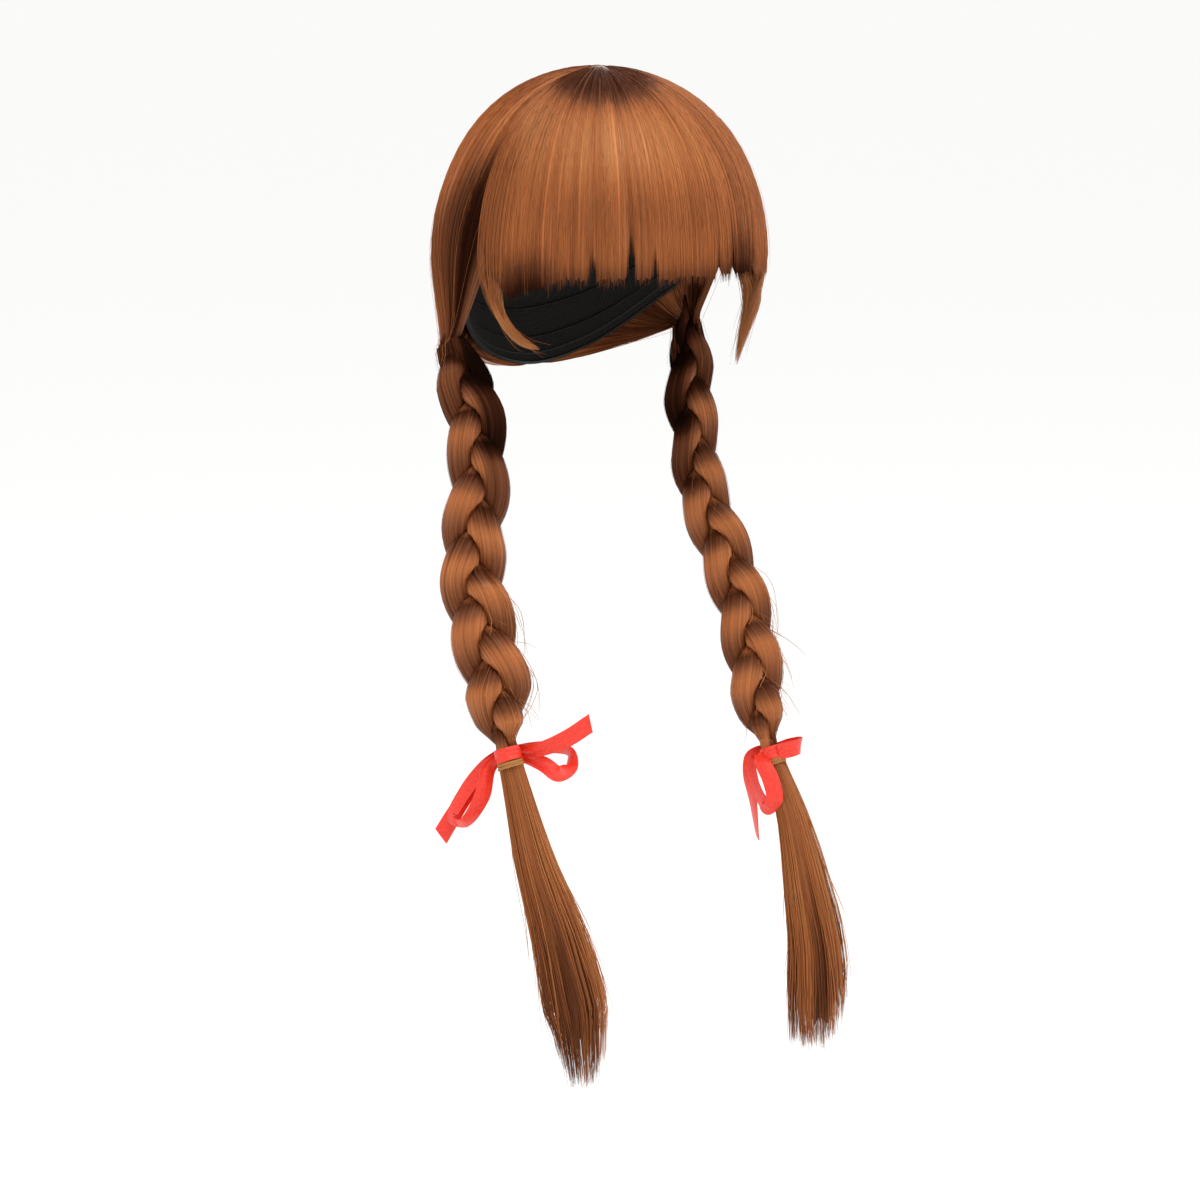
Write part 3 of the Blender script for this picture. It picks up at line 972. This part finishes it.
def makeTuft(braid):
    rng = np.random.default_rng(braid["seed"] + 9)
    shape = tuft[braid["name"]]
    n, m = tuft["count"], tuft["points"]
    t = np.linspace(0, 1, m)[None]
    turn = column(rng.uniform(0, 2 * np.pi, n))
    spread = column(np.sqrt(rng.uniform(0.02, 1, n)))
    share = column(rng.normal(0, 0.022, n)) + mix(shape["centreLength"], shape["rimLength"], spread ** 2)
    share = share - shape["slant"] * np.maximum(np.cos(turn) * spread, 0)
    start = braid["toEnd"] - tuft["early"]
    length = start + t * np.minimum(share, 1.01) * (braid["whole"] - start)
    wide = braid["spread"] + shape["flare"]
    headRadius = tuft["headShare"] * braid["halfWidth"]
    radius = mix(headRadius, wide, flareAt(t)) * (1 - shape["taper"] * ease(t, 0.8, 1))
    x, y = np.cos(turn) * spread, np.sin(turn) * spread
    locks = tuft["lockCount"]
    lockTurn, lockOut = rng.uniform(0, 6.28, locks), np.sqrt(rng.uniform(0.05, 1, locks))
    lockX, lockY = np.cos(lockTurn) * lockOut, np.sin(lockTurn) * lockOut
    near = ((x - lockX) ** 2 + (y - lockY) ** 2).argmin(1)
    pull = 0.2 * ease(t, 0.3, 1)
    x, y = mix(x, column(lockX[near]), pull), mix(y, column(lockY[near]), pull)
    spot = braidFrame(braid, np.minimum(length, braid["whole"]))
    points = beside(spot, x * radius + shape["shift"] * ease(t, 0.1, 0.7), tuft["flat"] * y * radius)
    lockTone = rng.normal(0, 0.07, locks)
    tone = (tuft["tone"] + column(rng.normal(0, 0.04, n)) + column(lockTone[near]) * ease(t, 0.15, 0.5)
            - shape["dark"] * ease(t, 0.35, 0.8)
            + 0.14 * ease(x, 0.45, 0.95) * ease(t, 0.1, 0.4) - 0.1 * (1 - spread)
            - 0.14 * ease(t, 0.3, 0.55) * (1 - ease(np.abs(x - 0.12), 0.2, 0.5)) * (1 - ease(t, 0.8, 1)))
    groups = [fibres(points, rng.uniform(*tuft["thick"], n), tone, rng, root=1, tip=0.3, tipFrom=0.8, loose=0.9)]
    outside = np.argsort(spread[:, 0])[-tuft["tipsFrom"]:]
    for pick in rng.choice(outside, tuft["tips"], replace=False):  # cut ends that stand off the sides
        last = rng.integers(7, m)
        way = unit(points[pick, last] - spot[0][pick, last])
        groups.append(strays(points[pick:pick + 1, 3:last + 1], 1, rng, tuft["tipLift"], 0.55, way=way,
                             thick=tuft["tipThick"]))
    sides = tuft["sides"]
    gridT = np.linspace(0, shape["shellEnd"], tuft["rows"])[:, None]
    gridT, gridTurn = spreadOut(gridT * (1 - 0.12 * rng.uniform(0, 1, sides)[None]), roundTurn(sides)[None])
    radius = mix(headRadius, wide, flareAt(gridT)) * mix(*tuft["fill"], ease(gridT, 0.25, 0.75))
    radius = radius * (1 - 0.7 * ease(gridT, 0.72, shape["shellEnd"]))
    radius = radius * (1 + rng.normal(0, tuft["ridge"], sides)[None] * ease(gridT, 0, 0.3))
    rings = beside(braidFrame(braid, start + gridT * (braid["whole"] - start)),
                   np.cos(gridTurn) * radius + shape["shift"] * ease(gridT, 0.1, 0.7),
                   tuft["flat"] * np.sin(gridTurn) * radius)
    tone = tuft["shellTone"] + rng.normal(0, 0.05, sides)[None] - (shape["dark"] - 0.02) * ease(gridT, 0.4, 0.8)
    shell = loftShell(rings, tone, backAndForth(gridTurn))
    return tubePiece("tailTuft" + braid["name"].title(), "tail_tuft_" + braid["name"], hairMat,
                     groups, [shell], frizz=tuft["frizz"])


# elastics: turns of two-ply cord

elastic = dict(share=0.37, ply=0.5, offset=0.42, turns=(-1.3, 0.0, 1.3), twists=24, steps=145, middle=-0.3,
               seed=5)


def makeElastic(braid):
    spot = braidSpot(braid, braid["toEnd"] + elastic["middle"])
    lines = []
    for k, height in enumerate(elastic["turns"]):
        for ply in (0, 1):
            a = np.linspace(0, 2 * np.pi, elastic["steps"])
            twist = a * elastic["twists"] + np.pi * ply + k
            r = elastic["share"] * braid["halfWidth"] + elastic["offset"] * np.cos(twist)
            r = r + 0.25 * np.sin(a * 2 + k)
            h = height + elastic["offset"] * np.sin(twist) + 0.35 * np.sin(a + 2 * k)
            lines.append(beside(spot, r * np.cos(a), r * np.sin(a)) + spot[1] * h[:, None])
    rng = np.random.default_rng(elastic["seed"])
    group = fibres(np.array(lines), np.full(len(lines), elastic["ply"]), 0.5, rng, root=1, tip=1)
    return tubePiece("elastic" + braid["name"].title(), "elastic_" + braid["name"], rubberMat, [group],
                     sides=5, keepMap=False)


# ribbons: wrap, knot, loops and tails of one satin ribbon

ribbon = dict(
    width=10.0, wall=0.45, wrapShare=0.4, wrapFromEnd=9.6, wrapHeight=7.6, steps=9, cross=6, curl=0.35, cut=4.0,
    pucker=2.2, tieAzimuth=-33.0, knot=(5.0, 3.6, 2.4), knotBehind=11.0, knotRows=13, knotSides=20, knotTurn=1.47,
    wrapRows=12, wrapSides=60, selvedge=40.0,
    right=dict(  # each strip from the knot outward: right, up and forward of the tie, lean of its width, gather
        loopRight=[(2, 0, -11.5, 85, 0.6), (14, 2, -10, 75, 0.75), (26, 3, -7, 56, 0.95), (35, 1, -3, 40, 1),
                   (36, -6, 2, 38, 1), (29, -10, 4, 52, 1), (20, -6, -3, 68, 0.9), (3, -1, -10.5, 82, 0.6)],
        tailRight=[(2, 1, -10.5, 85, 0.6), (16, 2.5, -2, 82, 0.85), (33, 10, 3, 86, 1), (47, 19, 2, 88, 1)],
        loopLeft=[(-2, 0, -11.5, 85, 0.6), (-13, -9, -11, 62, 0.8), (-25, -24, -10, 42, 0.95),
                  (-32, -38, -5, 34, 1), (-25, -39, 2, 46, 1), (-15, -24, 2, 66, 1), (-11, -9, -6, 74, 0.85),
                  (-3, -1, -10.5, 82, 0.6)],
        tailLeft=[(-2, 0, -12.5, 85, 0.6), (-15, -15, -15, 50, 0.85), (-28, -33, -16, 56, 1),
                  (-39, -51, -14, 82, 1)],
    ),
    left=dict(
        standRight=[(2, 0, -11.5, 85, 0.6), (10, 2, -10, 88, 0.85), (16, 3.4, -6, 94, 1), (17.5, 4.2, -1, 98, 1),
                    (15, 4.2, 4, 98, 1), (9.5, 3.4, 6.6, 95, 1), (3.5, 2, 6.2, 92, 0.9)],
        loopLeft=[(-2, 0, -11.5, 85, 0.6), (-12, -5, -9, 66, 0.8), (-11, -17, -4, 44, 0.95), (-6, -27, 6, 42, 1),
                  (-2.5, -30.5, 13, 60, 1), (1.2, -24, 16.5, 84, 1), (-1, -13, 15.2, 88, 1),
                  (-5.5, -4, 9, 86, 0.95), (-6.5, 0, 2, 84, 0.8)],
        tailLeft=[(-2, 0, -12.5, 85, 0.6), (-11, -5, -11, 62, 0.9), (-13, -15, -9, 44, 1),
                  (-10.5, -32, -7.6, 24, 1), (-8, -52, -6, 8, 1)],
    ),
)


# closed strip with a slight curl, as rings of points with their place in the weave
def ribbonStrip(tie, table, isTail, isStanding):
    rows = np.array(table, float)
    spots = tie["centre"]
    for k, way in enumerate(("right", "up", "forward")):
        spots = spots + rows[:, k:k + 1] * tie[way]
    line = smoothLine(spots, ribbon["steps"])
    place = np.linspace(0, len(rows) - 1, len(line))
    run = unit(np.gradient(line, axis=0))
    lean = np.radians(np.interp(place, np.arange(len(rows)), rows[:, 3]))[:, None]
    gather = np.interp(place, np.arange(len(rows)), rows[:, 4])[:, None]
    flat = tie["up"] - run * (run @ tie["up"])[:, None] if isStanding else np.cross(tie["forward"], run)
    flat = unit(flat)
    deep = unit(np.cross(run, flat))
    width = unit(deep * np.cos(lean) + flat * np.sin(lean))
    thick = unit(np.cross(run, width))
    arc = arcOf(line)[:, None]
    across = np.linspace(-1, 1, ribbon["cross"] + 1)
    loop, weave = [], []
    for face in (1, -1):
        for w in across[::face]:
            bow = ribbon["curl"] * (1 - w * w) + (1 - gather) * ribbon["pucker"] * np.cos(w * 5.5)
            slant = np.zeros_like(line)
            if isTail:
                slant[-1] = run[-1] * ribbon["cut"] * w * 0.5
            loop.append(line + width * (w * gather * ribbon["width"] / 2)
                        + thick * (bow + face * ribbon["wall"] / 2) + slant)
            weave.append(np.concatenate([arc, arc * 0 + w * ribbon["width"] / 2 + (30 if face < 0 else 0)], 1))
    return np.stack(loop, 1), np.stack(weave, 1), arc[-1, 0]


def makeRibbon(braid):
    start = braid["toEnd"] - ribbon["wrapFromEnd"]
    spot = braidSpot(braid, start + ribbon["wrapHeight"] / 2)
    centre, run = spot[:2]
    a = np.radians(ribbon["tieAzimuth"])
    tie = dict(centre=centre, right=np.array([np.cos(a), np.sin(a), 0]),
               forward=np.array([np.sin(a), -np.cos(a), 0]), up=np.array([0, 0, 1.0]))
    shells, weave, length = [], [], 0.0
    for stripName, table in ribbon[braid["name"]].items():
        rings, pairs, arc = ribbonStrip(tie, table, stripName.startswith("tail"), stripName.startswith("stand"))
        pairs = np.vstack([pairs.reshape(-1, 2), pairs[0].mean(0)[None], pairs[-1].mean(0)[None]])
        weave.append(pairs + [0, 70 * len(shells)])
        shells.append(loftShell(rings))
        length += arc
    turn = np.linspace(0, 2 * np.pi, ribbon["wrapSides"] + 1)
    height, turn = spreadOut(np.linspace(-0.5, 0.5, ribbon["wrapRows"] + 1)[:, None], turn[None])
    wrapRadius = ribbon["wrapShare"] * braid["halfWidth"]
    fold = 0.2 * np.sin(height * 19 + 1.3 * np.sin(turn)) + 0.12 * np.cos(turn * 2 + height * 7)
    bands = []
    for layer in (0.5, -0.5):
        r = wrapRadius + fold * (1 - (2 * height) ** 4) + layer * ribbon["wall"]
        bands.append(beside(spot, r * np.cos(turn), r * np.sin(turn))
                     + run * (height * ribbon["wrapHeight"])[..., None])
    shells.append(wallShell(*bands, isRound=True))
    pairs = np.stack([turn * wrapRadius, height * 8 + 400], -1).reshape(-1, 2)
    weave.append(np.vstack([pairs, pairs])[shells[-1]["used"]])
    length += 2 * np.pi * wrapRadius
    tall, around = spreadOut(np.linspace(-ribbon["knotTurn"], ribbon["knotTurn"], ribbon["knotRows"])[:, None],
                             roundTurn(ribbon["knotSides"])[None])
    pinch = 1 + 0.1 * np.sin(around * 5)
    size = ribbon["knot"]
    knot = (centre - tie["forward"] * ribbon["knotBehind"]
            + tie["right"] * (size[0] * np.cos(tall) * np.cos(around) * pinch)[..., None]
            + tie["up"] * (size[1] * np.cos(tall) * np.sin(around) * pinch)[..., None]
            + tie["forward"] * (size[2] * np.sin(tall))[..., None])
    shells.append(loftShell(knot))
    pairs = np.stack([around * 4, tall * 4 + 500], -1).reshape(-1, 2)
    weave.append(np.vstack([pairs, pairs[:1], pairs[-1:]]))
    points, faces, count = [], [], 0
    for shell in shells:
        points.append(shell["points"])
        faces += cleanFaces(outward(shell["points"], shell["faces"]) + count)
        count += len(shell["points"])
    name = "ribbon" + braid["name"].title()
    mesh = bpy.data.meshes.new(name)
    mesh.from_pydata((np.vstack(points) * mm).tolist(), [], faces)
    mapPoints(mesh, "weave", np.vstack(weave))
    mesh.polygons.foreach_set("use_smooth", [True] * len(mesh.polygons))
    mesh.set_sharp_from_angle(angle=np.radians(ribbon["selvedge"]))  # crisp selvedges
    mesh.materials.append(satinMat)
    piece = enter(name, mesh, "ribbon_" + braid["name"])
    print(name, "ribbon length", round(length), "mm")
    return piece


for braid in braids:
    makeCrown(braid)
    makeSideLock(braid)
    for strand in range(3):
        makeStrand(braid, strand)
    makeElastic(braid)
    makeRibbon(braid)
    makeTuft(braid)

print("wig ready")
